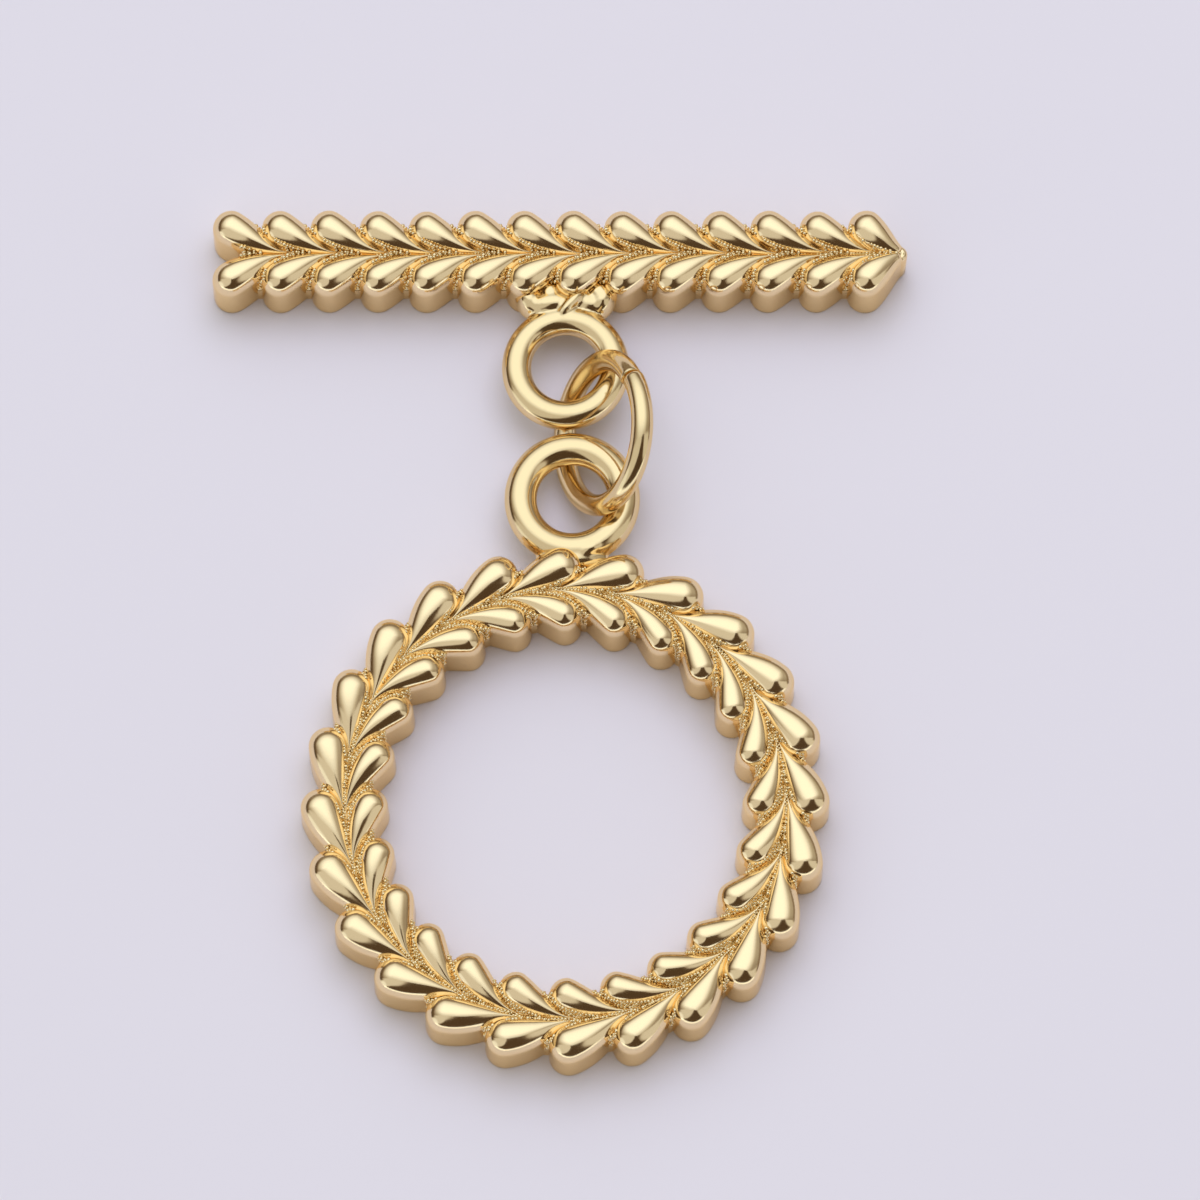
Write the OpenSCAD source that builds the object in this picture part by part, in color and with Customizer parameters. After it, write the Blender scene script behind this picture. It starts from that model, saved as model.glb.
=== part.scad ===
// Toggle clasp with leaf relief: a wreath ring, a straight bar and the jump ring that links them.
// The clasp lies on its flat backs on the plane z = 0, with the origin under the middle of the wreath.
// Seen from above, the bar lies across the top and all the fat leaf ends of the wreath point clockwise.

/* [Wreath ring] */
// Outer diameter over the leaf ends
ring_od = 15.7; // [14:0.1:19]
// Clear diameter inside the leaf ends
ring_id = 10.4; // [9:0.1:12]
// Leaf pairs round the wreath
ring_pairs = 24; // [18:1:28]

/* [Bar] */
// Length over the arrow tip and the leaf ends
bar_length = 20.9; // [16:0.1:26]
// Width over the leaf ends
bar_width = 2.74; // [2.2:0.02:3.4]
// Leaf pairs along the bar
bar_pairs = 14; // [10:1:18]
// Sideways place of the bar's middle, from the middle of its eye
bar_side = -0.2; // [-0.5:0.05:0.5]

/* [Leaf relief] */
// Height of the upright side wall below the leaves
skirt_height = 1.85; // [1.7:0.05:2.4]
// Rise of a leaf's crown above the side wall
crown_rise = 0.45; // [0.2:0.05:0.7]
// Depth of the grooves between the leaves, below the side wall's top
groove_depth = 0.25; // [0.1:0.05:0.5]
// Radius of the round end of the wreath's outer leaves
outer_leaf_r = 0.53; // [0.36:0.01:0.54]
// Radius of the round end of the wreath's inner leaves
inner_leaf_r = 0.45; // [0.34:0.01:0.48]
// Radius of the round end of the bar's leaves
bar_leaf_r = 0.49; // [0.34:0.01:0.5]
// Radius at the tip of a leaf's tail
leaf_tail_r = 0.06; // [0.04:0.01:0.12]

/* [Eyes] */
// Wire diameter of the wreath's eye
ring_eye_wire = 0.97; // [0.8:0.01:1.1]
// Outer diameter of the wreath's eye
ring_eye_od = 4.05; // [3.8:0.05:4.6]
// Sideways place of the wreath's eye
ring_eye_side = 0.2; // [-0.4:0.05:0.4]
// Depth that the wreath's eye is sunk behind the leaf ends
ring_eye_seat = 0.47; // [0.3:0.01:0.6]
// Wire diameter of the bar's eye
bar_eye_wire = 0.88; // [0.8:0.01:1]
// Outer diameter of the bar's eye
bar_eye_od = 3.82; // [3.6:0.02:4.4]
// Gap between the bar's eye and the leaf ends above it, filled with solder
bar_eye_stand_off = 0.17; // [0.1:0.01:0.3]
// Height of the middle of the wreath's eye above the back
ring_eye_level = 1.3; // [1.2:0.01:1.45]
// Height of the middle of the bar's eye above the back
bar_eye_level = 1.4; // [1.3:0.01:1.5]
// Gap left between the two eyes where they meet
eye_gap = 0.08; // [0.05:0.01:0.2]
// Diameter of the solder bead between the bar and its eye
solder_d = 1; // [0.8:0.05:1.2]
// Length of the solder bead along the bar
solder_length = 2.6; // [2:0.1:3.4]
// Depth of the solder bead's middle below the middle of the eye
solder_drop = 0.35; // [0.1:0.05:0.5]

/* [Jump ring] */
// Outer diameter of the jump ring
jump_od = 5; // [4.8:0.05:5.6]
// Wire diameter of the jump ring
jump_wire = 0.65; // [0.55:0.01:0.72]
// Lean of the jump ring out of the flat, in degrees
jump_lean = 58; // [50:1:64]
// Turn of the jump ring seen from above, in degrees
jump_turn = 3; // [-6:1:8]
// Distance from the meeting point of the eyes down to the jump ring's middle
jump_slide = 0.25; // [0:0.01:0.4]
// Smallest room between the jump ring's wire and an eye
jump_room = 0.03; // [0.02:0.01:0.1]
// Width of the cut in the jump ring
jump_cut = 0.08; // [0.04:0.01:0.3]
// Place of the cut, in degrees from the end near the bar towards the raised side
jump_cut_place = 35; // [10:1:60]

/* [Hidden] */
$fn = 96;

// Band of the wreath: its centre line and half its width
ring_line_r = (ring_od + ring_id) / 4;
ring_half = (ring_od - ring_id) / 4;
bar_half = bar_width / 2;

// Leaf rows: groove end as a share of the half width, groove lean and round end's place in leaf pitches,
// and the round end's radius
VALLEY = 0;
LEAN = 1;
END_ALONG = 2;
END_R = 3;
outer_row = [0.47, 0.45, 1.07, outer_leaf_r];
inner_row = [0.62, 0.5, 1.1, inner_leaf_r];
bar_row = [0.66, 0.6, 1.17, bar_leaf_r];

// A leaf's tail starts a little behind its groove, and its axis bows slightly towards the centre line.
// The powers say how soon a leaf reaches its full width and its crown the full height.
tail_along = 0.12;
tail_out = 0.05;
leaf_fullness = 0.7;
crown_fullness = 0.6;
bow_along = 0.6;
bow_out = 0.45;
// The relief's own radius is a little larger than the leaf end, which leaves a crisp rim on the side wall
rim_spread = 1.08;
// The bar's arrow tip cuts the first leaf's tail short by this share of the pitch
tip_cut = 0.29;

// Steps from the centre line to the edge
OUT_STEPS = [0, 0.16, 0.34, 0.52, 0.7, 0.86, 1];
rows = len(OUT_STEPS) - 1;
// Steps across one leaf: from its tail side to the middle of its round end, as shares of that way,
// and on from there, as shares of the end's radius
BEHIND_STEPS = [0, 0.24, 0.5, 0.76];
AHEAD_STEPS = [0, 0.45, 0.78, 0.96, 1.04];
// The same steps on the centre line, which both rows of leaves share, have these two lengths in pitches
line_behind = 0.58;
line_ahead = 0.28;
AXIS_STEPS = 12;

groove_level = skirt_height - groove_depth;
crown_height = skirt_height + crown_rise - groove_level;
bar_pitch = (bar_length - bar_leaf_r) / (bar_pairs + bar_row[END_ALONG] - 1 - tip_cut);
// The free end stops where the last leaves' round ends do, this share of the pitch before the next groove
end_pull = 1 + bar_row[LEAN] - bar_row[END_ALONG] - bar_leaf_r / bar_pitch;

// Places up the page: the wreath's eye, the bar's eye and the bar
ring_eye_y = ring_od / 2 - ring_eye_seat + ring_eye_od / 2;
eyes_meet_y = ring_eye_y + ring_eye_od / 2 + eye_gap / 2;
bar_eye_y = eyes_meet_y + eye_gap / 2 + bar_eye_od / 2;
bar_y = bar_eye_y + bar_eye_od / 2 + bar_eye_stand_off + bar_half;
bar_tip_x = bar_side + bar_length / 2 + tip_cut * bar_pitch;

// Wreath place: along runs clockwise in pitches, out runs away from the middle
ring_phase = -0.137;
ring_place = function(along, out)
    let (turn = (along + ring_phase) * 360 / ring_pairs, r = ring_line_r + out)
    [r * sin(turn), r * cos(turn)];

// Leaf pitch in mm at a distance out from the band's centre line
ring_pitch_at = function(out) 2 * PI * (ring_line_r + out) / ring_pairs;
bar_pitch_at = function(out) bar_pitch;

// Bar place: along runs from the arrow tip to the left in pitches, out runs down the page
bar_place = function(along, out) [bar_tip_x - along * bar_pitch, bar_y - out];

// Points of a leaf's axis as [along, out, radius], from the tail to the middle of the round end
function leaf_axis(row, half) =
    [for (i = [0:AXIS_STEPS])
        let (w = i / AXIS_STEPS,
             end_out = half - row[END_R],
             along = pow(1 - w, 2) * tail_along + 2 * w * (1 - w) * bow_along + w * w * row[END_ALONG],
             out = pow(1 - w, 2) * tail_out + 2 * w * (1 - w) * bow_out * end_out + w * w * end_out,
             r = leaf_tail_r + (row[END_R] - leaf_tail_r) * pow(w, leaf_fullness))
        [along, out, r]];

// The same points in place for one leaf, as [place, radius of the relief]
function placed_axis(place, axis, side, leaf) =
    [for (a = axis) [place(leaf + a[0], side * a[1]), a[2] * rim_spread]];

// Edge of the band at a place along it: the leaf's own round outline, or the groove's end beside it
function edge_out(row, half, axis, along, pitch_at) =
    max(concat([half * row[VALLEY]],
        [for (a = axis)
            let (aside = abs(along - a[0]) * pitch_at(a[1]))
            aside >= a[2] ? 0 : a[1] + sqrt(a[2] * a[2] - aside * aside)]));

// Height of the relief over the groove at a point, from the leaf whose placed axis is given
function leaf_rise(axis, point) =
    let (end_r = axis[AXIS_STEPS][1])
    max([for (a = axis)
        let (share = 1 - pow(norm(point - a[0]) / a[1], 2))
        share <= 0 ? 0 : crown_height * pow(a[1] / end_r, crown_fullness) * sqrt(share)]);

// Share across a leaf at a step, for the lengths behind and ahead of its round end's middle
function step_share(step, behind, ahead) =
    step < len(BEHIND_STEPS) ? behind * BEHIND_STEPS[step]
    : behind + ahead * AHEAD_STEPS[step - len(BEHIND_STEPS)];

// Solid band of leaves on a flat back; an open band has an arrow tip and a free end
module leaf_band(place, pitch_at, pairs, half_out, half_in, row_out, row_in, closed) {
    steps = len(BEHIND_STEPS) + len(AHEAD_STEPS);
    columns = pairs * steps + (closed ? 0 : 1);
    spans = closed ? columns : columns - 1;
    width = 2 * rows + 1;
    out_axis = leaf_axis(row_out, half_out);
    in_axis = leaf_axis(row_in, half_in);

    function leaf_of(column) = column == pairs * steps ? pairs - 1 : floor(column / steps);
    function share_of(column, row, half, side, u) =
        let (end_pitch = pitch_at(side * (half - row[END_R])),
             step = column % steps,
             edge_share = step_share(step, row[END_ALONG] - row[LEAN], row[END_R] / end_pitch),
             line_share = step_share(step, line_behind, line_ahead))
        column == pairs * steps ? 1 : line_share + (edge_share - line_share) * u;
    function shaped_share(column, share, u) =
        closed ? share
        : leaf_of(column) == 0 ? tip_cut + (1 - tip_cut) * share
        : leaf_of(column) == pairs - 1 ? share * (1 - end_pull * u * u)
        : share;
    function flat_point(column, r) =
        let (side = sign(r),
             u = OUT_STEPS[abs(r)],
             row = r < 0 ? row_in : row_out,
             half = r < 0 ? half_in : half_out,
             axis = r < 0 ? in_axis : out_axis,
             across = shaped_share(column, share_of(column, row, half, side, u), u),
             edge = edge_out(row, half, axis, across + row[LEAN], function(a) pitch_at(side * a)))
        place(leaf_of(column) + across + row[LEAN] * u, side * edge * u);
    function in_groove(column, r) = r == 0 || (column % steps == 0 && !is_end(column));

    out_axes = [for (leaf = [0:pairs - 1]) placed_axis(place, out_axis, 1, leaf)];
    in_axes = [for (leaf = [0:pairs - 1]) placed_axis(place, in_axis, -1, leaf)];
    top_points = [for (column = [0:columns - 1], r = [-rows:rows])
        let (point = flat_point(column, r), axes = r < 0 ? in_axes : out_axes)
        [point.x, point.y,
         groove_level + (in_groove(column, r) ? 0 : leaf_rise(axes[leaf_of(column)], point))]];
    low_points = [for (column = [0:columns - 1], r = [-rows, 0, rows])
        let (point = flat_point(column, r)) [point.x, point.y, 0]];
    end_points = closed ? [] : [for (column = [0, columns - 1], r = [-rows:rows])
        let (point = flat_point(column, r)) [point.x, point.y, 0]];

    function is_end(column) = !closed && (column == 0 || column == columns - 1);
    function next(column) = (column + 1) % columns;
    function top(column, r) = column * width + r + rows;
    function low(column, r) =
        is_end(column) ? len(top_points) + len(low_points) + (column == 0 ? 0 : width) + r + rows
        : len(top_points) + 3 * column + 1 + sign(r);
    function side_rows(column) = is_end(column) ? [for (r = [0:rows]) r] : [0, rows];
    function back_rows(list) = [for (i = [len(list) - 1:-1:0]) list[i]];
    function strip(column, side) =
        concat([for (r = side_rows(column)) low(column, side * r)],
               [for (r = back_rows(side_rows(next(column)))) low(next(column), side * r)]);

    relief = [for (c = [0:spans - 1], r = [-rows:rows - 1], half = [0, 1])
        half == 0 ? [top(c, r), top(c, r + 1), top(next(c), r + 1)]
        : [top(c, r), top(next(c), r + 1), top(next(c), r)]];
    back = [for (c = [0:spans - 1], side = [-1, 1]) side < 0 ? strip(c, side) : back_rows(strip(c, side))];
    walls = [for (c = [0:spans - 1], side = [-1, 1])
        side > 0 ? [top(c, rows), low(c, rows), low(next(c), rows), top(next(c), rows)]
        : [top(c, -rows), top(next(c), -rows), low(next(c), -rows), low(c, -rows)]];
    tip_wall = closed ? [] : [for (r = [-rows:rows - 1])
        [top(0, r), low(0, r), low(0, r + 1), top(0, r + 1)]];
    free_wall = closed ? [] : [for (r = [-rows:rows - 1])
        [top(columns - 1, r), top(columns - 1, r + 1), low(columns - 1, r + 1), low(columns - 1, r)]];

    polyhedron(points = concat(top_points, low_points, end_points),
               faces = concat(relief, back, walls, tip_wall, free_wall));
}

// Closed ring of round wire lying flat
module wire_eye(outer_d, wire_d) {
    rotate_extrude()
        translate([(outer_d - wire_d) / 2, 0])
            circle(d = wire_d);
}

// Bead of solder along X with round ends
module solder_bead() {
    reach = (solder_length - solder_d) / 2;
    rotate([0, 90, 0])
        cylinder(d = solder_d, h = 2 * reach, center = true);
    for (side = [-1, 1])
        translate([side * reach, 0, 0])
            sphere(d = solder_d);
}

module toggle_ring() {
    color([0.86, 0.66, 0.32]) {
        leaf_band(ring_place, ring_pitch_at, ring_pairs, ring_half, ring_half, outer_row, inner_row, true);
        translate([ring_eye_side, ring_eye_y, ring_eye_level])
            wire_eye(ring_eye_od, ring_eye_wire);
    }
}

module toggle_bar() {
    color([0.86, 0.66, 0.32]) {
        leaf_band(bar_place, bar_pitch_at, bar_pairs, bar_half, bar_half, bar_row, bar_row, false);
        translate([0, bar_eye_y, bar_eye_level])
            wire_eye(bar_eye_od, bar_eye_wire);
        translate([0, bar_y - bar_half - bar_eye_stand_off / 2, bar_eye_level - solder_drop])
            solder_bead();
    }
}

// The jump ring leans against the eyes, with its lower side on the plane z = 0
jump_line_r = (jump_od - jump_wire) / 2;
jump_z = jump_line_r * sin(jump_lean) + jump_wire / 2;
jump_y = eyes_meet_y - jump_slide;

// Point of the jump ring's centre line at an angle from its raised side, for a middle at x
function jump_point(x, a) =
    let (across = jump_line_r * cos(a), along = jump_line_r * sin(a), flat = across * cos(jump_lean))
    [x + flat * cos(jump_turn) - along * sin(jump_turn),
     jump_y + flat * sin(jump_turn) + along * cos(jump_turn),
     jump_z + across * sin(jump_lean)];

// Room between the jump ring's wire and an eye's wire, tried at points round the jump ring
ROOM_ANGLE_STEP = 4;
function eye_room(x, eye_x, eye_y, eye_z, outer_d, wire_d) =
    min([for (a = [0:ROOM_ANGLE_STEP:360])
        let (p = jump_point(x, a), reach = norm([p.x - eye_x, p.y - eye_y]))
        norm([reach - (outer_d - wire_d) / 2, p.z - eye_z])]) - (wire_d + jump_wire) / 2;

// Furthest place to the right at which the jump ring's wire clears both eyes, found in small steps
SEAT_START = 1.3;
SEAT_STEP = 0.01;
function jump_seat(x) =
    x < 0 || min(eye_room(x, ring_eye_side, ring_eye_y, ring_eye_level, ring_eye_od, ring_eye_wire),
                 eye_room(x, 0, bar_eye_y, bar_eye_level, bar_eye_od, bar_eye_wire)) >= jump_room
    ? x : jump_seat(x - SEAT_STEP);
jump_x = jump_seat(SEAT_START);

module jump_ring() {
    gap_angle = 360 * jump_cut / (2 * PI * jump_line_r);
    color([0.88, 0.69, 0.36])
        translate([jump_x, jump_y, jump_z])
            rotate([0, -jump_lean, jump_turn])
                rotate([0, 0, 90 - jump_cut_place + gap_angle / 2])
                    rotate_extrude(angle = 360 - gap_angle)
                        translate([jump_line_r, 0])
                            circle(d = jump_wire);
}

toggle_ring();
toggle_bar();
jump_ring();
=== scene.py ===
# Looks of a gold-plated toggle clasp: a wreath ring, a straight bar and the jump ring that links them.
import math
import random

import bmesh
import bpy
from mathutils import Matrix, Vector


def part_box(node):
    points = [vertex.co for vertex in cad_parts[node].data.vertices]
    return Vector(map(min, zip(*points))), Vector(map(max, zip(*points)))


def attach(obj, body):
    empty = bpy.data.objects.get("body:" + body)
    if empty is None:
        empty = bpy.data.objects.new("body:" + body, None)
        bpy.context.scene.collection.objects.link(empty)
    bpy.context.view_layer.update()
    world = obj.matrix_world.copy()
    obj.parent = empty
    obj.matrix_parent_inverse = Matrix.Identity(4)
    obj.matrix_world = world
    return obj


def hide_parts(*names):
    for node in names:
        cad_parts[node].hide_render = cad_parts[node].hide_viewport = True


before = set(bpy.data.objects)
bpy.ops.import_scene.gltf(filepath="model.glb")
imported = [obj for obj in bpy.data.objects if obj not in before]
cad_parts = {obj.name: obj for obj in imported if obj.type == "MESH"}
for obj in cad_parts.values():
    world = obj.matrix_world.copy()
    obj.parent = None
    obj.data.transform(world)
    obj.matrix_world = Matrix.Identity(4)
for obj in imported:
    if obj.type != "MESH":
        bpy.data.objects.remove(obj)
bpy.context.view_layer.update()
ring_low, ring_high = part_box("toggle_ring")
bar_low, bar_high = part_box("toggle_bar")
jump_low, jump_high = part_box("jump_ring")

# A millimetre, the distance within which two places count as one, and the least angle of a sharp edge
MM = 0.001
NEAR = 1e-6
SHARP_ANGLE = math.radians(60)

# Leaf relief: levels above the table
SKIRT_TOP = 1.78 * MM
CROWN_HEIGHT = 0.51 * MM
WALL_DRAFT = 0.025 * MM
BACK_EDGE = 0.03 * MM

# Wreath
RING_HALF = 1.325 * MM
RING_PAIRS = 24
RING_PHASE = -0.137
RING_OUTER_R = (ring_high.x - ring_low.x) / 2
RING_LINE_R = RING_OUTER_R - RING_HALF
RING_PITCH = math.tau / RING_PAIRS

# Bar
BAR_HALF = 1.37 * MM
BAR_PAIRS = 14
BAR_Y = bar_high.y - BAR_HALF
BAR_LEAF_R = 0.57 * MM
BAR_LEFT_ROOM = 0.04 * MM
BAR_LEFT = bar_low.x + BAR_LEFT_ROOM
BAR_END_ALONG = 1.145
BAR_TIP_CUT = 0.29
BAR_PITCH = (bar_high.x - BAR_LEFT - BAR_LEAF_R) / (BAR_PAIRS + BAR_END_ALONG - 1 - BAR_TIP_CUT)
BAR_TIP_X = bar_high.x + BAR_TIP_CUT * BAR_PITCH

# Eyes: wire, outer diameter and level of the middle
RING_EYE_WIRE = 0.97 * MM
RING_EYE_OD = 4.05 * MM
RING_EYE = Vector((0.2 * MM, ring_high.y - RING_EYE_OD / 2, 1.3 * MM))
BAR_EYE_WIRE = 0.88 * MM
BAR_EYE_OD = 3.82 * MM
BAR_EYE = Vector((0, bar_low.y + BAR_EYE_OD / 2, 1.4 * MM))

# Jump ring
JUMP_OD = 5 * MM
JUMP_WIRE = 0.65 * MM
JUMP_LEAN = math.radians(58)
JUMP_TURN = math.radians(3)
JUMP_CUT = 0.045 * MM
JUMP_CUT_PLACE = math.radians(57)
JUMP_CUT_STEP = 0.06 * MM
JUMP_CUT_BEND = math.radians(70)
JUMP_CUT_ROUND = 0.03 * MM
JUMP_SHRINK = 0.998
JUMP_ROUND_STEPS = 32
JUMP_SPIN_STEPS = 160

SEED = 24
random.seed(SEED)


def start_afresh():
    """Deselects everything, so that the next operator acts on new things alone."""
    if bpy.context.object and bpy.context.object.mode != "OBJECT":
        bpy.ops.object.mode_set(mode="OBJECT")
    bpy.ops.object.select_all(action="DESELECT")


def name_new(name):
    """Names the object that an operator has just added, and returns it."""
    piece = bpy.context.object
    piece.name = name
    piece.data.name = name
    return piece


def pick(piece, kind, test):
    """In edit mode, selects the vertices, edges or faces whose middle passes the test."""
    bpy.ops.mesh.select_mode(type=kind)
    bpy.ops.mesh.select_all(action="DESELECT")
    mesh = bmesh.from_edit_mesh(piece.data)
    if kind == "VERT":
        for vert in mesh.verts:
            vert.select_set(test(vert.co))
    elif kind == "EDGE":
        for edge in mesh.edges:
            edge.select_set(edge.is_boundary and test((edge.verts[0].co + edge.verts[1].co) / 2))
    else:
        for face in mesh.faces:
            face.select_set(test(face.calc_center_median()))
    mesh.select_flush_mode()
    bmesh.update_edit_mesh(piece.data)


def extrude_edges(offset):
    """Extrudes the selected edges by the offset."""
    bpy.ops.mesh.extrude_region_move(TRANSFORM_OT_translate={"value": offset})


def resize(factors, centre):
    """Resizes the selection about a centre."""
    bpy.ops.transform.resize(value=factors, center_override=centre)


def settle(piece):
    """Puts the piece's place into its mesh, so that its object stands at the origin."""
    start_afresh()
    piece.select_set(True)
    bpy.context.view_layer.objects.active = piece
    bpy.ops.object.transform_apply(location=True, rotation=True, scale=True)


def apply_modifier(piece, kind, **values):
    """Adds a modifier with these values and applies it."""
    start_afresh()
    piece.select_set(True)
    bpy.context.view_layer.objects.active = piece
    modifier = piece.modifiers.new(kind.lower(), kind)
    for name, value in values.items():
        setattr(modifier, name, value)
    bpy.ops.object.modifier_apply(modifier=modifier.name)


def copy_of(piece, name, place):
    """A copy with a mesh of its own, at another place."""
    twin = piece.copy()
    twin.data = piece.data.copy()
    twin.name = name
    bpy.context.scene.collection.objects.link(twin)
    twin.data.transform(place)
    return twin


def join(name, pieces):
    """Joins pieces into one."""
    start_afresh()
    for piece in pieces:
        piece.select_set(True)
    bpy.context.view_layer.objects.active = pieces[0]
    bpy.ops.object.join()
    return name_new(name)


# Leaves
ROUND_STEPS = 24
CAP_RINGS = 12
LEAF_FULLNESS = 1.2
CROWN_FULLNESS = 0.9
CROWN_TILT = 0.14
CROWN_PINCH = 0.6
CROWN_LEAN = 0.35
SHOULDER_DROP = 0.14 * MM
SHOULDER_FLARE = 0.003 * MM


def shape_crown(leaf, end_r, path, tail_x, spine_side):
    """Narrows the leaf's crown towards its tail and leans it towards the spine."""
    sections = [(0, 0, end_r), *path]
    for vert in leaf.data.vertices:
        if vert.co.z > SKIRT_TOP:
            x, y, r = min(sections, key=lambda section: abs(section[0] - vert.co.x))
            along = min(1, x / tail_x) ** 2
            rise = (vert.co.z - SKIRT_TOP) / (CROWN_HEIGHT * (r / end_r) ** CROWN_FULLNESS)
            vert.co.y += along * rise * (CROWN_LEAN * r * spine_side - CROWN_PINCH * (vert.co.y - y))
        if vert.co.x > 0 and vert.co.z > SKIRT_TOP / 2:
            vert.co.z -= CROWN_TILT * vert.co.x


def model_leaf(name, end_r, path, tail_x, spine_side):
    """One leaf with the middle of its round end over the origin; its tail follows the path."""
    top_r = end_r - WALL_DRAFT
    start_afresh()
    bpy.ops.mesh.primitive_uv_sphere_add(segments=ROUND_STEPS, ring_count=CAP_RINGS, radius=top_r)
    leaf = name_new(name)
    bpy.ops.object.mode_set(mode="EDIT")
    pick(leaf, "FACE", lambda p: p.z < 0)
    bpy.ops.mesh.delete(type="FACE")
    bpy.ops.mesh.select_all(action="SELECT")
    bpy.ops.transform.translate(value=(0, 0, SKIRT_TOP))
    resize((1, 1, CROWN_HEIGHT / top_r), (0, 0, SKIRT_TOP))
    r = top_r
    walls = ((SKIRT_TOP - SHOULDER_DROP, top_r + SHOULDER_FLARE), (4 * BACK_EDGE, end_r),
             (BACK_EDGE, end_r), (0, end_r - BACK_EDGE))
    for level, next_r in walls:
        pick(leaf, "EDGE", lambda p: True)
        extrude_edges((0, 0, 0))
        resize((next_r / r, next_r / r, 0), (0, 0, level))
        r = next_r
    pick(leaf, "FACE", lambda p: p.x < 0)
    bpy.ops.mesh.delete(type="FACE")
    x, y, r = 0, 0, end_r
    for next_x, next_y, next_r in path:
        pick(leaf, "EDGE", lambda p: abs(p.x - x) < NEAR)
        extrude_edges((next_x - x, next_y - y, 0))
        resize((1, next_r / r, 1), (next_x, next_y, 0))
        pick(leaf, "VERT", lambda p: abs(p.x - next_x) < NEAR and p.z > SKIRT_TOP - NEAR)
        resize((1, 1, (next_r / r) ** CROWN_FULLNESS), (0, 0, SKIRT_TOP))
        x, y, r = next_x, next_y, next_r
    pick(leaf, "EDGE", lambda p: p.x < x + NEAR)
    bpy.ops.mesh.edge_face_add()
    pick(leaf, "EDGE", lambda p: True)
    bpy.ops.mesh.edge_face_add()
    bpy.ops.mesh.select_all(action="SELECT")
    bpy.ops.mesh.normals_make_consistent(inside=False)
    bpy.ops.object.mode_set(mode="OBJECT")
    shape_crown(leaf, end_r, path, tail_x, spine_side)
    apply_modifier(leaf, "SUBSURF", levels=1, render_levels=1)
    bpy.ops.object.shade_smooth()
    return leaf


def ring_point(along, out):
    """A point of the wreath: along runs clockwise in leaf pitches, out runs away from its centre line."""
    turn = (along + RING_PHASE) * RING_PITCH
    r = RING_LINE_R + out
    return Vector((r * math.sin(turn), r * math.cos(turn), 0))


def bar_point(along, out):
    """A point of the bar: along runs left from the arrow tip in leaf pitches, out runs down the page."""
    return Vector((BAR_TIP_X - along * BAR_PITCH, BAR_Y - out, 0))


# Leaf rows: a leaf's round end lies end_along pitches along its row, and the half width and the valley
# are distances from the centre line to the leaf ends and to the groove ends between them
ROWS = {
    "wreath_outer": {"point": ring_point, "count": RING_PAIRS, "side": 1, "end_r": 0.61 * MM,
                     "end_along": 1.08, "half": RING_HALF, "curve": 1.15, "valley": 0.7 * MM},
    "wreath_inner": {"point": ring_point, "count": RING_PAIRS, "side": -1, "end_r": 0.54 * MM,
                     "end_along": 1.11, "half": RING_HALF, "curve": 1.15, "valley": 0.84 * MM},
    "bar_lower": {"point": bar_point, "count": BAR_PAIRS, "side": 1, "end_r": BAR_LEAF_R,
                  "end_along": BAR_END_ALONG, "half": BAR_HALF, "curve": 1.3, "valley": 0.9 * MM},
    "bar_upper": {"point": bar_point, "count": BAR_PAIRS, "side": -1, "end_r": BAR_LEAF_R,
                  "end_along": BAR_END_ALONG, "half": BAR_HALF, "curve": 1.3, "valley": 0.9 * MM},
}

# A leaf's tail: where its tip lies, how thick it is there and the thin thread that runs on along the spine
TAIL_ALONG = 0.03
TAIL_OUT = 0.05 * MM
TAIL_R = 0.085 * MM
TAIL_STEPS = 9
THREAD_ALONG = -0.5
THREAD_R = 0.045 * MM
THREAD_STEPS = 5
# The bar's first leaves end early, in its arrow tip
TIP_LEAF_BACK = 0.14
TIP_ALONG = BAR_TIP_CUT + TIP_LEAF_BACK
TIP_R = 0.15 * MM

# How one cast leaf differs from the next: the largest turn, in radians, and the smallest size
LEAF_TURN = 0.018
LEAF_SHRINK = 0.972


def place_of(row, number, tail_along=TAIL_ALONG):
    """The matrix that moves a row's modelled leaf to one of its places."""
    point, side = row["point"], row["side"]
    end = point(number + row["end_along"], side * (row["half"] - row["end_r"]))
    tail = point(number + tail_along, side * TAIL_OUT)
    axis = end - tail
    return Matrix.Translation(end) @ Matrix.Rotation(math.atan2(axis.y, axis.x), 4, "Z")


def leaf_axis(row, tail_along=TAIL_ALONG, tail_r=TAIL_R, steps=TAIL_STEPS):
    """A leaf's axis from its round end to its tail, as (pitches along, distance out, half width)."""
    reach = row["half"] - row["end_r"] - TAIL_OUT
    axis = []
    for step in range(steps + 1):
        left = 1 - step / steps
        along = tail_along + (row["end_along"] - tail_along) * left
        out = TAIL_OUT + reach * left ** row["curve"]
        swell = math.sin(left * math.pi / 2) ** LEAF_FULLNESS
        axis.append((along, out, tail_r + (row["end_r"] - tail_r) * swell))
    return axis


def in_leaf_frame(row, axis, tail_along=TAIL_ALONG):
    """An axis in the frame of the modelled leaf, without its first point."""
    home = place_of(row, 0, tail_along).inverted()
    spots = [(home @ row["point"](along, row["side"] * out), r) for along, out, r in axis[1:]]
    return [(spot.x, spot.y, r) for spot, r in spots]


def thread_axis():
    """The thread that runs on from a leaf's tail."""
    ways = [step / THREAD_STEPS for step in range(1, THREAD_STEPS + 1)]
    return [(TAIL_ALONG + (THREAD_ALONG - TAIL_ALONG) * way, TAIL_OUT, TAIL_R + (THREAD_R - TAIL_R) * way)
            for way in ways]


def uneven():
    """The small turn and shrinkage by which one cast leaf differs from the next."""
    turn = Matrix.Rotation(random.uniform(-LEAF_TURN, LEAF_TURN), 4, "Z")
    return turn @ Matrix.Scale(random.uniform(LEAF_SHRINK, 1), 4)


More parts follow.
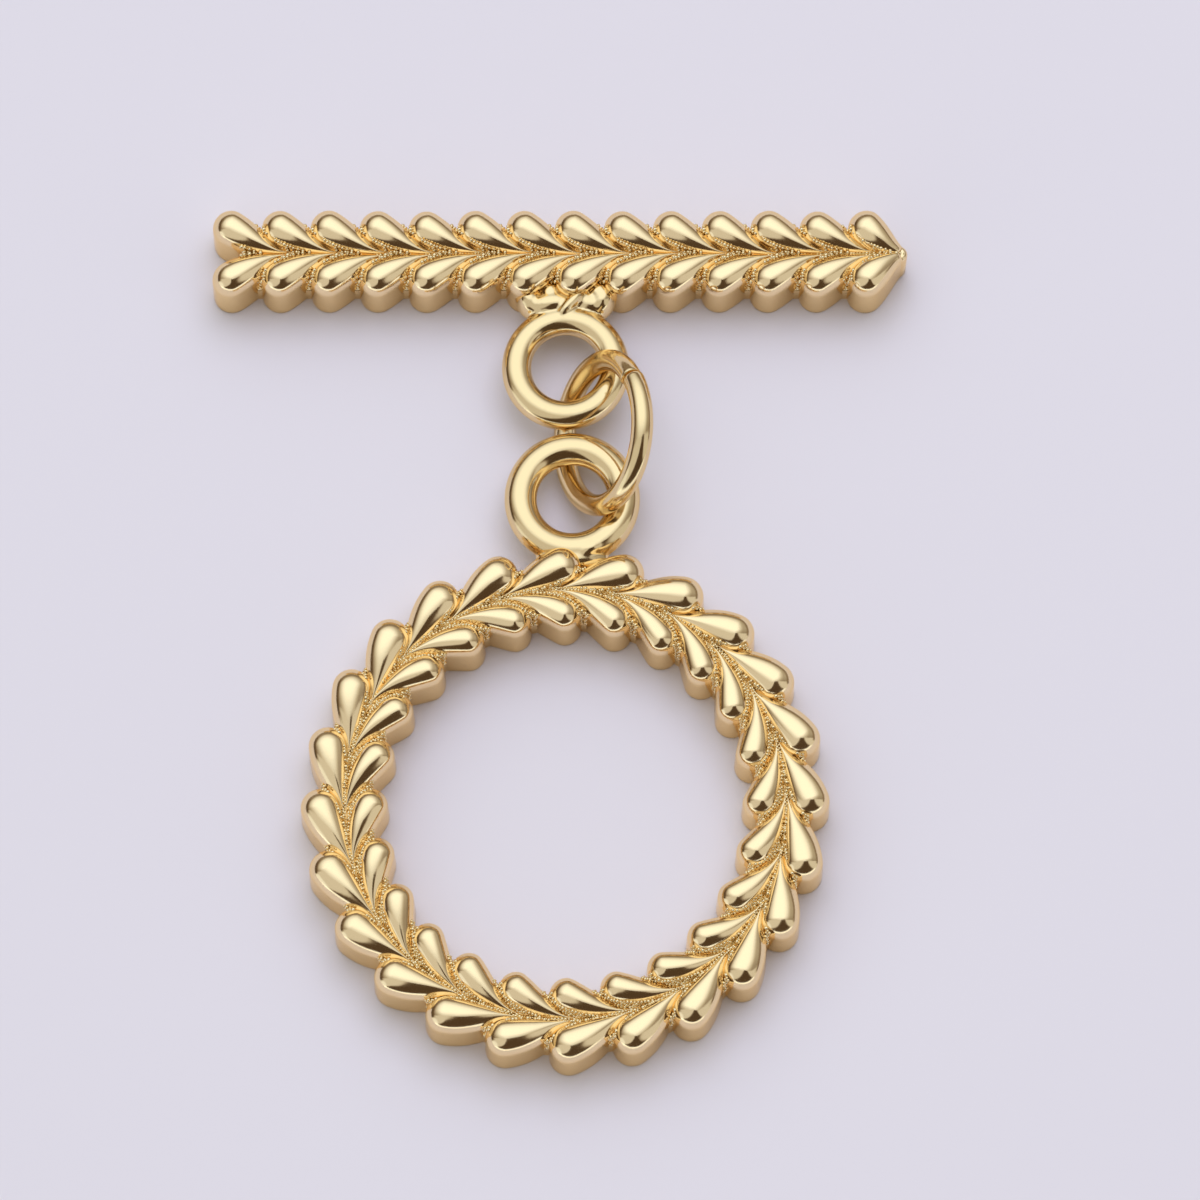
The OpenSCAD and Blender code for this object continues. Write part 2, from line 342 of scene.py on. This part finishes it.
def leaf_row(name):
    """A whole row of leaves: one is modelled and the others are copied from it."""
    row = ROWS[name]
    home = place_of(row, 0).inverted()
    tail_x = (home @ row["point"](TAIL_ALONG, row["side"] * TAIL_OUT)).x
    spine_side = math.copysign(1, (home @ row["point"](row["end_along"] / 2, 0)).y)
    path = in_leaf_frame(row, leaf_axis(row) + thread_axis())
    model = model_leaf(name, row["end_r"], path, tail_x, spine_side)
    first = 0
    leaves = []
    if row["point"] is bar_point:
        path = in_leaf_frame(row, leaf_axis(row, TIP_ALONG, TIP_R), TIP_ALONG)
        tip = model_leaf(name + "_tip", row["end_r"], path, tail_x, spine_side)
        tip.data.transform(place_of(row, 0, TIP_ALONG))
        leaves.append(tip)
        first = 1
    for number in range(first, row["count"]):
        leaves.append(copy_of(model, f"{name}_{number}", place_of(row, number) @ uneven()))
    bpy.data.objects.remove(model)
    return leaves


# Bands under the leaves
BAND_STEPS = 480
BAND_LINES = 26
BAND_TOP = 1.78 * MM
BAND_DROP = 0.13 * MM
BAND_ROUND = 0.8 * MM
ROUND_POWER = 5


def band_level(share):
    """The height of a band's top at a share of the way from its centre line to its edge."""
    return BAND_TOP - BAND_DROP * share ** 2 - BAND_ROUND * share ** ROUND_POWER


def model_wreath_band():
    """The flat-backed band under the wreath's leaves, raised ring by ring from a circle."""
    outer, inner = ROWS["wreath_outer"]["valley"], ROWS["wreath_inner"]["valley"]
    start_afresh()
    r = RING_LINE_R + outer
    bpy.ops.mesh.primitive_circle_add(vertices=BAND_STEPS, radius=r)
    band = name_new("wreath_band")
    bpy.ops.object.mode_set(mode="EDIT")
    z = 0.0
    for line in range(BAND_LINES + 1):
        share = math.cos(math.pi * line / BAND_LINES)
        out = share * (outer if share > 0 else inner)
        next_r, level = RING_LINE_R + out, band_level(abs(share))
        extrude_edges((0, 0, level - z))
        resize((next_r / r, next_r / r, 1), (0, 0, 0))
        r, z = next_r, level
    extrude_edges((0, 0, -z))
    pick(band, "EDGE", lambda p: abs(p.z) < NEAR)
    bpy.ops.mesh.bridge_edge_loops()
    bpy.ops.mesh.select_all(action="SELECT")
    bpy.ops.mesh.normals_make_consistent(inside=False)
    bpy.ops.object.mode_set(mode="OBJECT")
    bpy.ops.object.shade_smooth_by_angle(angle=SHARP_ANGLE)
    return band


BAR_GRID = (240, 26)
BAR_NOTCH_X = bar_low.x + 0.99 * MM
BAR_NOTCH_DEPTH = 0.65 * MM
BAR_TIP_DEPTH = 1.05 * MM
BAR_TIP_BACK = 0.1 * MM


def model_bar_band():
    """The flat-backed band under the bar's leaves: a grid pulled into an arrow shape and raised."""
    valley = ROWS["bar_lower"]["valley"]
    length = bar_high.x - BAR_TIP_BACK - BAR_NOTCH_X
    start_afresh()
    bpy.ops.mesh.primitive_grid_add(x_subdivisions=BAR_GRID[0], y_subdivisions=BAR_GRID[1], size=2,
                                    location=(BAR_NOTCH_X + length / 2, BAR_Y, 0))
    band = name_new("bar_band")
    band.scale = (length / 2, valley, 1)
    settle(band)
    for vert in band.data.vertices:
        share = math.sin(math.pi / 2 * (vert.co.y - BAR_Y) / valley)
        aside = abs(share)
        forward = (vert.co.x - BAR_NOTCH_X) / length
        vert.co.x -= (BAR_NOTCH_DEPTH + (BAR_TIP_DEPTH - BAR_NOTCH_DEPTH) * forward) * aside
        vert.co.y = BAR_Y + valley * share
        vert.co.z = band_level(aside)
    bpy.ops.object.mode_set(mode="EDIT")
    pick(band, "EDGE", lambda p: True)
    extrude_edges((0, 0, -BAND_TOP - BAND_ROUND))
    pick(band, "VERT", lambda p: p.z < 0)
    resize((1, 1, 0), (0, 0, 0))
    pick(band, "EDGE", lambda p: True)
    bpy.ops.mesh.edge_face_add()
    bpy.ops.mesh.select_all(action="SELECT")
    bpy.ops.mesh.normals_make_consistent(inside=False)
    bpy.ops.object.mode_set(mode="OBJECT")
    bpy.ops.object.shade_smooth_by_angle(angle=SHARP_ANGLE)
    return band


# Post in the bar's arrow tip
TIP_POST_R = 0.26 * MM
TIP_POST_TOP = 1.78 * MM
TIP_POST_BACK = 0.28 * MM
TIP_POST_EDGE = 0.13 * MM


def model_tip_post():
    """The rounded upright edge in which the bar's arrow tip ends."""
    start_afresh()
    bpy.ops.mesh.primitive_cylinder_add(vertices=48, radius=TIP_POST_R, depth=TIP_POST_TOP,
                                        location=(bar_high.x - TIP_POST_BACK, BAR_Y, TIP_POST_TOP / 2))
    post = name_new("bar_tip_post")
    settle(post)
    apply_modifier(post, "BEVEL", width=TIP_POST_EDGE, segments=4, limit_method="ANGLE",
                   angle_limit=SHARP_ANGLE)
    bpy.ops.object.shade_smooth()
    return post


# Cast grain: small beads that fill the grooves and climb a little way up the leaves' flanks
BEAD_R = 0.055 * MM
BEAD_ROOM = 0.085 * MM
BEAD_SINK = 0.01 * MM
BEAD_SIZES = (0.65, 1.3)
BEAD_KINDS = 8
BEAD_ROUGHNESS = (0.72, 1.25)
BEAD_TRIES = 2500
BEAD_COVER = 0.93
BEAD_CLIMB = 0.13
COVER_ROOM = 0.02
PITCH_REACH = 1.7
SPINE_REACH = 0.02 * MM
ABOVE_ALL = 4 * MM
FLANK_STEPS = 20
EDGE_ROOM = 0.03 * MM


def cover_at(row, r):
    """The share of a leaf's half width from which the grain lies on it: less where the leaf is fat."""
    return BEAD_COVER - BEAD_CLIMB * r / row["end_r"]


def clear_of_leaves(row, neighbours, spot):
    """Whether a spot lies in a groove or low on a leaf's flank."""
    return all((spot - place).length > (cover_at(row, r) - COVER_ROOM) * r for place, r in neighbours)


def grain_spots(row, body):
    """Places for the beads of one leaf's groove: in rows beside the leaf, then wherever there is room."""
    point, side, valley = row["point"], row["side"], row["valley"]
    axis = leaf_axis(row, steps=FLANK_STEPS) + thread_axis()
    neighbours = [(point(along + number, side * out), r)
                  for number in (-1, 0, 1, 2) for along, out, r in axis]
    tries = []
    for (along, out, r), (next_along, next_out, next_r) in zip(axis, axis[1:]):
        for part in (0, 0.5):
            start, finish = point(along, side * out), point(next_along, side * next_out)
            across = Vector((start.y - finish.y, finish.x - start.x, 0)).normalized()
            middle = start.lerp(finish, part)
            tries += [middle + across * r * cover_at(row, r) * way for way in (-1, 1)]
    for attempt in range(BEAD_TRIES):
        tries.append(point(random.uniform(0, PITCH_REACH), side * random.uniform(-SPINE_REACH, valley)))
    spots = []
    for spot in tries:
        out = side * ((spot.xy.length - RING_LINE_R) if point is ring_point else (BAR_Y - spot.y))
        if out > valley - EDGE_ROOM:
            continue
        if not clear_of_leaves(row, neighbours, spot):
            continue
        hit, place, normal, face = body.ray_cast(Vector((spot.x, spot.y, ABOVE_ALL)), (0, 0, -1))
        level = max(band_level(abs(out) / valley), place.z if hit else 0)
        spot = Vector((spot.x, spot.y, level - BEAD_SINK))
        if all((spot - other).length > BEAD_ROOM for other in spots):
            spots.append(spot)
    return spots


def lay_beads(name, kinds, spots):
    """Beads of uneven size at these spots, joined into one piece."""
    beads = []
    for spot in spots:
        size = Matrix.Scale(random.uniform(*BEAD_SIZES), 4)
        turn = Matrix.Rotation(random.uniform(0, math.tau), 4, "Z")
        place = Matrix.Translation(spot) @ turn @ size
        beads.append(copy_of(random.choice(kinds), f"{name}_bead_{len(beads)}", place))
    return join(name, beads)


def model_grain(name, row_names, body, kinds, turn, count, on_band):
    """All the beads of a band: one pitch is laid bead by bead, and copied wherever the whole pitch fits."""
    spots = [spot for row_name in row_names for spot in grain_spots(ROWS[row_name], body)]
    model = lay_beads(name + "_pitch", kinds, spots)
    pitches = []
    for number in range(count):
        here = [turn(number) @ spot for spot in spots]
        fitting = [spot for spot in here if on_band(spot)]
        if len(fitting) == len(here):
            pitches.append(copy_of(model, f"{name}_{number}", turn(number)))
        elif fitting:
            pitches.append(lay_beads(f"{name}_{number}", kinds, fitting))
    bpy.data.objects.remove(model)
    return join(name, pitches)


def ring_turn(number):
    """The matrix from the wreath's first pitch to another one."""
    return Matrix.Rotation(-number * RING_PITCH, 4, "Z")


def bar_shift(number):
    """The matrix from the bar's first pitch to another one."""
    return Matrix.Translation((-number * BAR_PITCH, 0, 0))


def on_wreath(spot):
    """The wreath has no ends, so every spot of a pitch fits."""
    return True


def on_bar(spot):
    """Whether a spot lies between the bar's notch and its arrow tip."""
    aside = abs(spot.y - BAR_Y) / ROWS["bar_lower"]["valley"]
    left = BAR_NOTCH_X - BAR_NOTCH_DEPTH * aside + EDGE_ROOM
    right = bar_high.x - BAR_TIP_BACK - BAR_TIP_DEPTH * aside - 2 * EDGE_ROOM
    return left < spot.x < right


def model_bead(number):
    """One lumpy bead of the cast grain."""
    start_afresh()
    bpy.ops.mesh.primitive_uv_sphere_add(segments=6, ring_count=4, radius=BEAD_R)
    bpy.ops.object.shade_smooth()
    bead = name_new(f"bead_{number}")
    for vert in bead.data.vertices:
        vert.co *= random.uniform(*BEAD_ROUGHNESS)
    return bead


# Eyes with their solder: wire and lumps of solder melted into one skin. A lump has its place and its three
# radii in mm, and its turn in degrees
SKIN_GRID = 0.04 * MM
SKIN_SMOOTHING = 22
WIRE_STEPS = (128, 40)
LUMP_STEPS = (48, 24)
EYES = {
    "toggle_ring": {"middle": RING_EYE, "outer_d": RING_EYE_OD, "wire": RING_EYE_WIRE,
                    "solder": (((0.2, 7.55, 1.3), (1.1, 0.4, 0.44), 0),
                               ((0.75, 7.85, 1.42), (0.6, 0.3, 0.4), 28))},
    "toggle_bar": {"middle": BAR_EYE, "outer_d": BAR_EYE_OD, "wire": BAR_EYE_WIRE,
                   "solder": (((-1.1, 15.55, 1.2), (0.4, 0.6, 0.62), 20),
                              ((1.1, 15.55, 1.2), (0.4, 0.6, 0.62), -20),
                              ((-0.45, 15.4, 1.42), (0.8, 0.4, 0.45), 8),
                              ((0.55, 15.45, 1.36), (0.75, 0.42, 0.4), -14),
                              ((-0.47, 15.75, 1.3), (0.4, 0.36, 0.5), 0),
                              ((0.99, 15.75, 1.3), (0.4, 0.36, 0.5), 0),
                              ((0.15, 15.35, 1.72), (0.6, 0.17, 0.24), 48))},
}


def model_eye(node):
    """Closed ring of round wire, lying flat, with the solder that holds it."""
    eye = EYES[node]
    start_afresh()
    bpy.ops.mesh.primitive_torus_add(location=eye["middle"],
                                     major_segments=WIRE_STEPS[0], minor_segments=WIRE_STEPS[1],
                                     major_radius=(eye["outer_d"] - eye["wire"]) / 2,
                                     minor_radius=eye["wire"] / 2)
    parts = [name_new(node + "_wire")]
    for place, radii, turn in eye["solder"]:
        start_afresh()
        bpy.ops.mesh.primitive_uv_sphere_add(segments=LUMP_STEPS[0], ring_count=LUMP_STEPS[1], radius=MM,
                                             location=Vector(place) * MM,
                                             rotation=(0, 0, math.radians(turn)))
        lump = name_new(node + "_solder")
        lump.scale = radii
        settle(lump)
        parts.append(lump)
    loop = join(node + "_eye", parts)
    settle(loop)
    apply_modifier(loop, "REMESH", mode="VOXEL", voxel_size=SKIN_GRID)
    apply_modifier(loop, "SMOOTH", factor=0.5, iterations=SKIN_SMOOTHING)
    start_afresh()
    loop.select_set(True)
    bpy.context.view_layer.objects.active = loop
    bpy.ops.object.shade_smooth()
    return loop


def model_jump_ring():
    """The open ring of round wire: a disc spun round to its cut."""
    line_r = (JUMP_OD - JUMP_WIRE) / 2
    gap = JUMP_CUT / line_r
    start_afresh()
    bpy.ops.mesh.primitive_circle_add(vertices=JUMP_ROUND_STEPS, radius=JUMP_WIRE / 2, fill_type="NGON",
                                      location=(line_r, 0, 0), rotation=(math.pi / 2, 0, 0))
    wire = name_new("jump_ring_wire")
    settle(wire)
    bpy.ops.object.mode_set(mode="EDIT")
    bpy.ops.mesh.select_all(action="SELECT")
    bpy.ops.mesh.spin(steps=JUMP_SPIN_STEPS, angle=math.tau - gap, center=(0, 0, 0), axis=(0, 0, 1))
    bpy.ops.mesh.select_all(action="SELECT")
    bpy.ops.mesh.normals_make_consistent(inside=False)
    bpy.ops.object.mode_set(mode="OBJECT")
    apply_modifier(wire, "BEVEL", width=JUMP_CUT_ROUND, segments=2, limit_method="ANGLE",
                   angle_limit=SHARP_ANGLE)
    bpy.ops.object.shade_smooth_by_angle(angle=math.radians(40))
    for vert in wire.data.vertices:
        turn = math.atan2(vert.co.y, vert.co.x) % math.tau
        vert.co.z += JUMP_CUT_STEP * max(0, 1 - turn / JUMP_CUT_BEND) ** 2
    middle = (jump_low + jump_high) / 2
    lean = Matrix.Rotation(JUMP_TURN, 4, "Z") @ Matrix.Rotation(-JUMP_LEAN, 4, "Y")
    cut = Matrix.Rotation(math.pi / 2 - JUMP_CUT_PLACE + gap / 2, 4, "Z")
    wire.data.transform(Matrix.Translation(middle) @ lean @ cut @ Matrix.Scale(JUMP_SHRINK, 4))
    return wire


# Finishes
GOLD = (0.95, 0.74, 0.44, 1)
# Painted shade: a darker copy of the same gold for the wires, which dims their highlights
SHADED_WIRE_GOLD = (0.86, 0.66, 0.37, 1)
BEAD_GOLD = (0.95, 0.78, 0.48, 1)
# Painted shade: the groove bottoms' gold is darkened where the narrow grooves lie in shade
GROOVE_SHADE_GOLD = (0.55, 0.4, 0.17, 1)
EDGE_GOLD = (1, 0.87, 0.64, 1)
# The least upward part of a band face's normal with which it counts as the bottom of a groove
GROOVE_FLATNESS = 0.2


def new_material(name):
    """An empty node material; returns it with its nodes, its links and its surface shader."""
    material = bpy.data.materials.new(name)
    material.use_nodes = True
    nodes = material.node_tree.nodes
    return material, nodes, material.node_tree.links, nodes["Principled BSDF"]


def polished_gold(name, colour):
    """Bright gold plate, polished, with faint unevenness."""
    material, nodes, links, shader = new_material(name)
    shader.inputs["Base Color"].default_value = colour
    shader.inputs["Metallic"].default_value = 1
    shader.inputs["Specular Tint"].default_value = EDGE_GOLD
    coords = nodes.new("ShaderNodeTexCoord")
    noise = nodes.new("ShaderNodeTexNoise")
    noise.inputs["Scale"].default_value = 1500
    noise.inputs["Detail"].default_value = 3
    links.new(coords.outputs["Object"], noise.inputs["Vector"])
    rough = nodes.new("ShaderNodeMapRange")
    rough.inputs["To Min"].default_value = 0.09
    rough.inputs["To Max"].default_value = 0.17
    links.new(noise.outputs["Fac"], rough.inputs["Value"])
    links.new(rough.outputs["Result"], shader.inputs["Roughness"])
    bump = nodes.new("ShaderNodeBump")
    bump.inputs["Strength"].default_value = 0.25
    bump.inputs["Distance"].default_value = 0.02 * MM
    links.new(noise.outputs["Fac"], bump.inputs["Height"])
    links.new(bump.outputs["Normal"], shader.inputs["Normal"])
    return material


def shaded_cast_gold():
    """Dull gold plate on the rough bottom of the grooves, its colour darkened as painted shade."""
    material, nodes, links, shader = new_material("shaded_cast_grain")
    shader.inputs["Base Color"].default_value = GROOVE_SHADE_GOLD
    shader.inputs["Metallic"].default_value = 1
    shader.inputs["Specular Tint"].default_value = EDGE_GOLD
    shader.inputs["Roughness"].default_value = 0.3
    coords = nodes.new("ShaderNodeTexCoord")
    grain = nodes.new("ShaderNodeTexNoise")
    grain.inputs["Scale"].default_value = 14000
    grain.inputs["Detail"].default_value = 2
    links.new(coords.outputs["Object"], grain.inputs["Vector"])
    bump = nodes.new("ShaderNodeBump")
    bump.inputs["Strength"].default_value = 0.9
    bump.inputs["Distance"].default_value = 0.05 * MM
    links.new(grain.outputs["Fac"], bump.inputs["Height"])
    links.new(bump.outputs["Normal"], shader.inputs["Normal"])
    return material


def table_finish():
    """Pale lilac-white table."""
    material, nodes, links, shader = new_material("pale_table")
    shader.inputs["Base Color"].default_value = (0.74, 0.68, 0.66, 1)
    shader.inputs["Roughness"].default_value = 0.6
    return material


def finish_with(piece, material):
    """Gives the whole piece one material."""
    piece.data.materials.clear()
    piece.data.materials.append(material)


def finish_grooves(piece, material):
    """Gives the band's upper faces, which show in the grooves, another material: the one darkened as
    painted shade.
    """
    piece.data.materials.append(material)
    for face in piece.data.polygons:
        if face.normal.z > GROOVE_FLATNESS:
            face.material_index = 1


def kept(piece, node):
    """The piece stands for a CAD node."""
    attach(piece, "root")
    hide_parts(node)


polished = polished_gold("polished_gold", GOLD)
# The wires' darker copy of the gold, as painted shade
shaded_polished_wire = polished_gold("shaded_wire_gold", SHADED_WIRE_GOLD)
polished_beads = polished_gold("bead_gold", BEAD_GOLD)
# The groove material, whose darker colour is painted shade in the grooves
grain = shaded_cast_gold()

bead_kinds = [model_bead(number) for number in range(BEAD_KINDS)]
for node, rows, model_band, *pitches in (
    ("toggle_ring", ("wreath_outer", "wreath_inner"), model_wreath_band, ring_turn, RING_PAIRS, on_wreath),
    ("toggle_bar", ("bar_lower", "bar_upper"), model_bar_band, bar_shift, BAR_PAIRS, on_bar),
):
    leaves = [leaf for row in rows for leaf in leaf_row(row)]
    if node == "toggle_bar":
        leaves.append(model_tip_post())
    body = join(node + "_leaves", leaves)
    finish_with(body, polished)
    kept(body, node)
    base = model_band()
    finish_with(base, polished)
    finish_grooves(base, grain)
    kept(base, node)
    beads = model_grain(node + "_grain", rows, body, bead_kinds, *pitches)
    finish_with(beads, polished_beads)
    kept(beads, node)
    loop = model_eye(node)
    finish_with(loop, shaded_polished_wire)
    kept(loop, node)
for bead in bead_kinds:
    bpy.data.objects.remove(bead)

wire = model_jump_ring()
finish_with(wire, shaded_polished_wire)
kept(wire, "jump_ring")

# Table, camera and light
TABLE_SIZE = 1.2
start_afresh()
bpy.ops.mesh.primitive_plane_add(size=TABLE_SIZE)
table = name_new("table")
finish_with(table, table_finish())

CAMERA_PLACE = (1.0265 * MM, -59.2747 * MM, 266.3062 * MM)
CAMERA_NEAR = 10 * MM
CAMERA_TILT = math.radians(13.9)
FRAME_PIXELS = 1200
FOCAL_PIXELS = 9187
SENSOR = 36

camera_data = bpy.data.cameras.new("camera")
camera_data.sensor_width = SENSOR
camera_data.lens = SENSOR * FOCAL_PIXELS / FRAME_PIXELS
camera_data.clip_start = CAMERA_NEAR
camera = bpy.data.objects.new("camera", camera_data)
camera.location = CAMERA_PLACE
camera.rotation_euler = (CAMERA_TILT, 0, 0)
bpy.context.scene.collection.objects.link(camera)
bpy.context.scene.camera = camera


# Light tent. A direction reaches across, along and up, each from -1 to 1. A span is the stretch of such a
# reach, or of the closeness to an aim, over which a part of the tent fades in
FRONT_LEAN = 0.24
FRONT_SPAN = (-0.008, 0.008)
HORIZON_LEAN = 0.07
HORIZON_SPAN = (0.07, 0.4)
# The roof: evenly lit, with a glow behind its top, shade along its front edge and gloom at the horizon
ROOF_LIGHT = 0.45
GLOW_AIM = (-0.1, 0.32, 0.92)
GLOW_SPAN = (0.45, 0.98)
GLOW_LIGHT = 0.9
ROOF_EDGE_SPAN = (0, 0.4)
ROOF_EDGE_SHADE = 0.3
GLOOM_LIGHT = 0.25
GLOOM_AIM = (-1, 0.1, 0.1)
GLOOM_SPAN = (0.6, 0.95)
GLOOM_SHADE = 0.14
# The front: lit low down and dark above between its left and right ends, with a bright place at the left
FRONT_LIGHT = 0.72
LEFT_SPAN = (-0.94, -0.82)
RIGHT_LEAN = 0.5
RIGHT_SPAN = (0.84, 0.94)
DARK_SPAN = (0.14, 0.2)
STRIP_LIGHT = 0.6
DARK_SHADE = 0.64
BRIGHT_AIM = (-0.85, -0.5, 0.08)
BRIGHT_SPAN = (0.93, 0.98)
BRIGHT_LIGHT = 0.3
# The flanks, where the front meets the gloom
FLANK_SPAN = (-0.2, -0.1)
FLANK_SIDE_SPAN = (0.5, 0.8)
FLANK_SHADE = 0.92
# The tint of the light: a level of light and the colour that it has there
DIM_TINT = (0.05, (1, 0.64, 0.36, 1))
MIDDLE_TINT = (0.35, (1, 0.93, 0.82, 1))
BRIGHT_TINT = (1, (0.9, 0.98, 1.05, 1))


def light_tent():
    """Pale light all round: a roof with gloom at the horizon, and a front that is dark over a lit strip."""
    world = bpy.data.worlds.new("light_tent")
    bpy.context.scene.world = world
    world.use_nodes = True
    nodes, links = world.node_tree.nodes, world.node_tree.links
    background = nodes["Background"]
    coords = nodes.new("ShaderNodeTexCoord")
    parts = nodes.new("ShaderNodeSeparateXYZ")
    links.new(coords.outputs["Generated"], parts.inputs["Vector"])
    across, along, height = parts.outputs["X"], parts.outputs["Y"], parts.outputs["Z"]

    def maths(operation, first, second):
        node = nodes.new("ShaderNodeMath")
        node.operation = operation
        for socket, value in zip(node.inputs, (first, second)):
            if isinstance(value, float):
                socket.default_value = value
            else:
                links.new(value, socket)
        return node.outputs["Value"]

    def ramp(source, span, flip=False):
        node = nodes.new("ShaderNodeMapRange")
        node.interpolation_type = "SMOOTHSTEP"
        node.inputs["From Min"].default_value = span[0]
        node.inputs["From Max"].default_value = span[1]
        node.inputs["To Min"].default_value = 1 if flip else 0
        node.inputs["To Max"].default_value = 0 if flip else 1
        links.new(source, node.inputs["Value"])
        return node.outputs["Result"]

    def toward(aim, span):
        node = nodes.new("ShaderNodeVectorMath")
        node.operation = "DOT_PRODUCT"
        links.new(coords.outputs["Generated"], node.inputs[0])
        node.inputs[1].default_value = Vector(aim).normalized()
        return ramp(node.outputs["Value"], span)

    behind = maths("ADD", along, maths("MULTIPLY", height, FRONT_LEAN))
    in_front = ramp(behind, FRONT_SPAN, flip=True)
    clear = ramp(maths("ADD", height, maths("MULTIPLY", across, HORIZON_LEAN)), HORIZON_SPAN)

    roof = maths("ADD", maths("MULTIPLY", toward(GLOW_AIM, GLOW_SPAN), GLOW_LIGHT), ROOF_LIGHT)
    inside = maths("MULTIPLY", ramp(behind, ROOF_EDGE_SPAN), ROOF_EDGE_SHADE)
    roof = maths("MULTIPLY", roof, maths("ADD", inside, 1 - ROOF_EDGE_SHADE))
    gloom = maths("SUBTRACT", GLOOM_LIGHT, maths("MULTIPLY", toward(GLOOM_AIM, GLOOM_SPAN), GLOOM_SHADE))
    roof = maths("MAXIMUM", maths("MULTIPLY", roof, clear), gloom)

    left = ramp(maths("SUBTRACT", across, height), LEFT_SPAN)
    right = ramp(maths("ADD", across, maths("MULTIPLY", height, RIGHT_LEAN)), RIGHT_SPAN, flip=True)
    strip = maths("MULTIPLY", ramp(height, DARK_SPAN, flip=True), STRIP_LIGHT)
    dark = maths("MULTIPLY", ramp(height, DARK_SPAN), DARK_SHADE)
    facing = maths("MULTIPLY", maths("MULTIPLY", left, right), maths("SUBTRACT", strip, dark))
    bright = maths("MULTIPLY", toward(BRIGHT_AIM, BRIGHT_SPAN), BRIGHT_LIGHT)
    front = maths("ADD", maths("ADD", FRONT_LIGHT, facing), bright)

    sideways = ramp(maths("ABSOLUTE", across, 0.0), FLANK_SIDE_SPAN)
    flank = maths("MULTIPLY", ramp(behind, FLANK_SPAN), sideways)
    shaded = maths("MULTIPLY", flank, maths("SUBTRACT", 1.0, clear))
    front = maths("MULTIPLY", front, maths("SUBTRACT", 1.0, maths("MULTIPLY", shaded, FLANK_SHADE)))

    shine = maths("ADD", maths("MULTIPLY", roof, maths("SUBTRACT", 1.0, in_front)),
                  maths("MULTIPLY", front, in_front))
    links.new(shine, background.inputs["Strength"])
    tint = nodes.new("ShaderNodeValToRGB")
    stops = tint.color_ramp.elements
    stops[0].position, stops[0].color = DIM_TINT
    stops[1].position, stops[1].color = BRIGHT_TINT
    stops.new(MIDDLE_TINT[0]).color = MIDDLE_TINT[1]
    links.new(shine, tint.inputs["Fac"])
    links.new(tint.outputs["Color"], background.inputs["Color"])


light_tent()

KEY_PLACE = (0.02, 0.14, 0.42)
KEY_AIM = Vector((0, 3 * MM, 0))
KEY_SIZE = 0.4
KEY_POWER = 0.76
KEY_COLOUR = (0.89, 0.94, 1.4)

start_afresh()
bpy.ops.object.light_add(type="AREA", location=KEY_PLACE)
key = bpy.context.object
key.name = "key_light"
key.data.shape = "DISK"
key.data.size = KEY_SIZE
key.data.energy = KEY_POWER
key.data.color = KEY_COLOUR
key.visible_glossy = False
key.rotation_euler = (KEY_AIM - key.location).to_track_quat("-Z", "Y").to_euler()

scene = bpy.context.scene
scene.view_settings.view_transform = "Standard"
scene.view_settings.look = "None"
